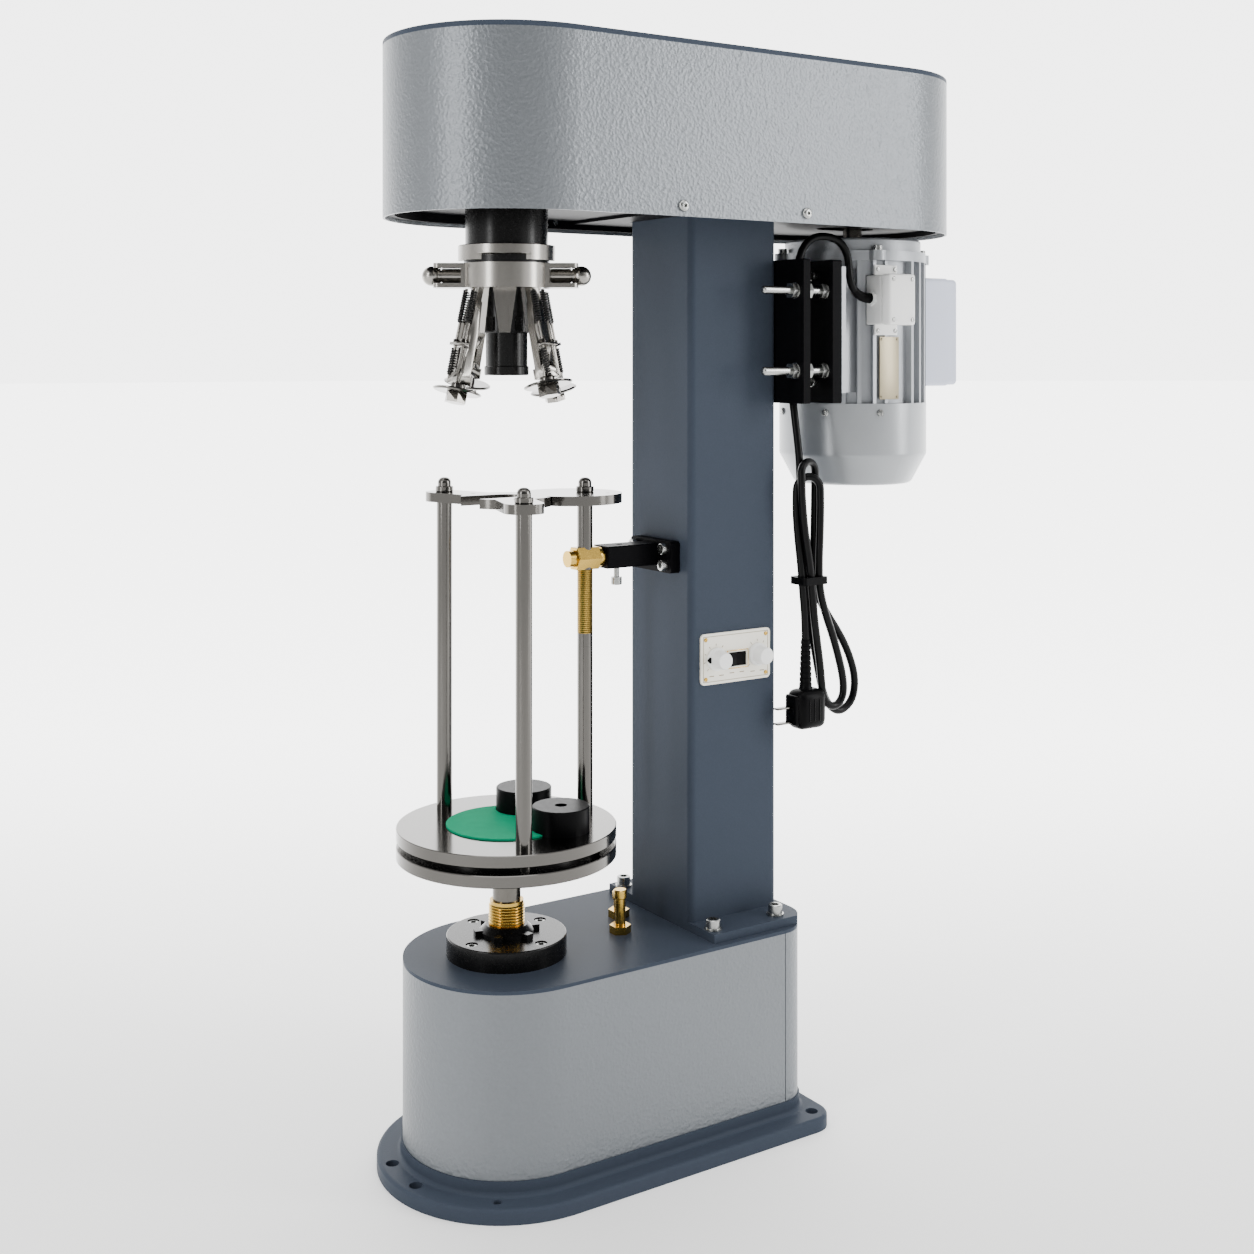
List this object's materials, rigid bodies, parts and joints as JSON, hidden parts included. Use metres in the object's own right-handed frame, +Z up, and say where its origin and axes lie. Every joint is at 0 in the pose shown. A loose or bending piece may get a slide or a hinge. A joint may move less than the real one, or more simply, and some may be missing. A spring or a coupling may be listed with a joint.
{
  "type": "roll-on pilfer-proof capping machine",
  "caption": "Bench capping machine: a column carries a belt-driven spindle with a roll-on head with swinging roller arms above a bottle table that is lifted by a cam.",
  "frame": {"origin": "middle of the footprint of the machine without its cord, at the level of the base's underside", "axes": "+Z up; -Y towards the bottle side, where the spindle axis stands at Y = -0.20375; +X towards the side with the control panel"},
  "size_m": [0.231, 0.6324, 0.9764],
  "materials": {
    "silver_paint": "hammered silver-grey baked paint",
    "blue_grey_paint": "satin dark blue-grey paint",
    "black_paint": "satin black paint",
    "black_steel": "black oxide finish",
    "polished_steel": "polished stainless",
    "turned_steel": "turned and ground",
    "zinc_steel": "bright zinc plated",
    "spring_steel": "black spring steel",
    "brass": "turned, unlacquered",
    "pad_rubber": "smooth green rubber",
    "black_rubber": "black, lightly satin",
    "cast_aluminium": "cast and painted light grey",
    "cover_grey": "pressed and painted grey",
    "cast_iron": "machined grey iron",
    "white_plastic": "moulded white",
    "pale_plastic": "moulded pale grey-blue",
    "panel_plate": "cream enamel",
    "black_plastic": "moulded black",
    "cable": "glossy flexible sheath"
  },
  "bodies": {
    "frame": {"base_casting": "blue_grey_paint", "pedestal_skirt": "silver_paint", "deck_plate": "blue_grey_paint", "lift_guide": "black_steel", "height_sleeve": "brass", "lift_gearmotor": "cast_aluminium", "column": "blue_grey_paint", "head_base": "black_paint", "closing_plate": "black_paint", "head_cover": "silver_paint", "head_lid": "blue_grey_paint", "cover_screws": "zinc_steel", "spindle_housing": "black_steel", "ring_nut": "turned_steel", "drive_belt": "black_rubber", "motor_body": "cast_aluminium", "fan_cover": "cover_grey", "terminal_box": "white_plastic", "capacitor_box": "pale_plastic", "column_mount_plate": "black_paint", "motor_slide_plate": "black_paint", "mount_studs": "zinc_steel", "guide_bracket": "black_paint", "brass_guide": "brass", "control_panel": "panel_plate", "stop_posts": "brass", "frame_screws": "zinc_steel", "cord_tube": "cable", "cord_hank": "cable", "cord_tie": "black_plastic", "cord_plug": "black_plastic"},
    "table": {"lift_ram": "turned_steel", "table_lower_plate": "polished_steel", "table_spacer": "black_steel", "table_upper_plate": "polished_steel", "table_screws": "black_steel", "grip_pad": "pad_rubber", "bottle_stops": "black_plastic", "guide_rods": "polished_steel", "neck_plate": "polished_steel"},
    "lift_cam": {"lift_cam": "cast_iron"},
    "follower": {"cam_follower": "turned_steel"},
    "spindle": {"spindle_shaft": "turned_steel", "spindle_pulley": "cast_aluminium", "yoke": "polished_steel", "cone_sleeve": "black_steel", "chuck_spring": "spring_steel"},
    "chuck": {"chuck": "black_steel"},
    "arm_1": {"arm_1": "polished_steel"},
    "roller_1": {"roller_1": "polished_steel"},
    "arm_2": {"arm_2": "polished_steel"},
    "roller_2": {"roller_2": "polished_steel"},
    "arm_3": {"arm_3": "polished_steel"},
    "roller_3": {"roller_3": "polished_steel"},
    "arm_4": {"arm_4": "polished_steel"},
    "roller_4": {"roller_4": "polished_steel"},
    "motor": {"motor_rotor": "turned_steel"},
    "knob_1": {"panel_knob_1": "white_plastic"},
    "knob_2": {"panel_knob_2": "white_plastic"},
    "rocker": {"power_rocker": "black_plastic"}
  },
  "joints": [
    {"name": "table_lift", "type": "slide", "parent": "frame", "child": "table", "axis": [0, 0, 1], "range_m": [0, 0.055]},
    {"name": "cam_turn", "type": "hinge", "parent": "frame", "child": "lift_cam", "pos_m": [0, -0.20375, 0.086], "axis": [1, 0, 0], "range_deg": [0, 240]},
    {"name": "follower_spin", "type": "hinge", "parent": "table", "child": "follower", "pos_m": [0, -0.20375, 0.1103], "axis": [1, 0, 0], "continuous": true},
    {"name": "motor_spin", "type": "hinge", "parent": "frame", "child": "motor", "pos_m": [0, 0.19625, 0.7], "axis": [0, 0, 1], "continuous": true},
    {"name": "spindle_spin", "type": "hinge", "parent": "frame", "child": "spindle", "pos_m": [0, -0.20375, 0.8], "axis": [0, 0, 1], "continuous": true},
    {"name": "chuck_lift", "type": "slide", "parent": "spindle", "child": "chuck", "axis": [0, 0, 1], "range_m": [0, 0.008], "stiffness_N_per_m": 2000, "springref_m": -0.01, "deforming": ["chuck_spring"]},
    {"name": "arm_1_swing", "type": "hinge", "parent": "spindle", "child": "arm_1", "pos_m": [0.03038, -0.19757, 0.768], "axis": [-0.1994, 0.9799, 0], "range_deg": [0, 12.5], "stiffness_Nm_per_rad": 0.5, "springref_deg": -11.46},
    {"name": "roller_1_spin", "type": "hinge", "parent": "arm_1", "child": "roller_1", "pos_m": [0.05307, -0.19295, 0.67845], "axis": [-0.2454, -0.0499, 0.9681], "continuous": true},
    {"name": "arm_2_swing", "type": "hinge", "parent": "spindle", "child": "arm_2", "pos_m": [-0.00618, -0.17337, 0.768], "axis": [-0.9799, -0.1994, 0], "range_deg": [0, 12.5], "stiffness_Nm_per_rad": 0.5, "springref_deg": -11.46},
    {"name": "roller_2_spin", "type": "hinge", "parent": "arm_2", "child": "roller_2", "pos_m": [-0.0111, -0.14921, 0.67264], "axis": [0.0499, -0.2454, 0.9681], "continuous": true},
    {"name": "arm_3_swing", "type": "hinge", "parent": "spindle", "child": "arm_3", "pos_m": [-0.03038, -0.20993, 0.768], "axis": [0.1994, -0.9799, 0], "range_deg": [0, 12.5], "stiffness_Nm_per_rad": 0.5, "springref_deg": -11.46},
    {"name": "roller_3_spin", "type": "hinge", "parent": "arm_3", "child": "roller_3", "pos_m": [-0.05307, -0.21455, 0.67845], "axis": [0.2454, 0.0499, 0.9681], "continuous": true},
    {"name": "arm_4_swing", "type": "hinge", "parent": "spindle", "child": "arm_4", "pos_m": [0.00618, -0.23413, 0.768], "axis": [0.9799, 0.1994, 0], "range_deg": [0, 12.5], "stiffness_Nm_per_rad": 0.5, "springref_deg": -11.46},
    {"name": "roller_4_spin", "type": "hinge", "parent": "arm_4", "child": "roller_4", "pos_m": [0.0111, -0.25829, 0.67264], "axis": [-0.0499, 0.2454, 0.9681], "continuous": true},
    {"name": "knob_1_turn", "type": "hinge", "parent": "frame", "child": "knob_1", "pos_m": [0.0523, -0.01375, 0.426], "axis": [1, 0, 0], "range_deg": [-135, 135]},
    {"name": "knob_2_turn", "type": "hinge", "parent": "frame", "child": "knob_2", "pos_m": [0.0523, 0.03375, 0.426], "axis": [1, 0, 0], "range_deg": [-135, 135]},
    {"name": "rocker_tip", "type": "hinge", "parent": "frame", "child": "rocker", "pos_m": [0.0505, 0.01, 0.424], "axis": [0, 0, 1], "range_deg": [-16, 0]}
  ],
  "couplings": [
    {"joint": "cam_turn", "follows": "table_lift", "rad_per_m": 76.15},
    {"joint": "spindle_spin", "follows": "motor_spin", "ratio": 0.4},
    {"joint": "arm_2_swing", "follows": "arm_1_swing", "ratio": 1},
    {"joint": "arm_3_swing", "follows": "arm_1_swing", "ratio": 1},
    {"joint": "arm_4_swing", "follows": "arm_1_swing", "ratio": 1}
  ]
}
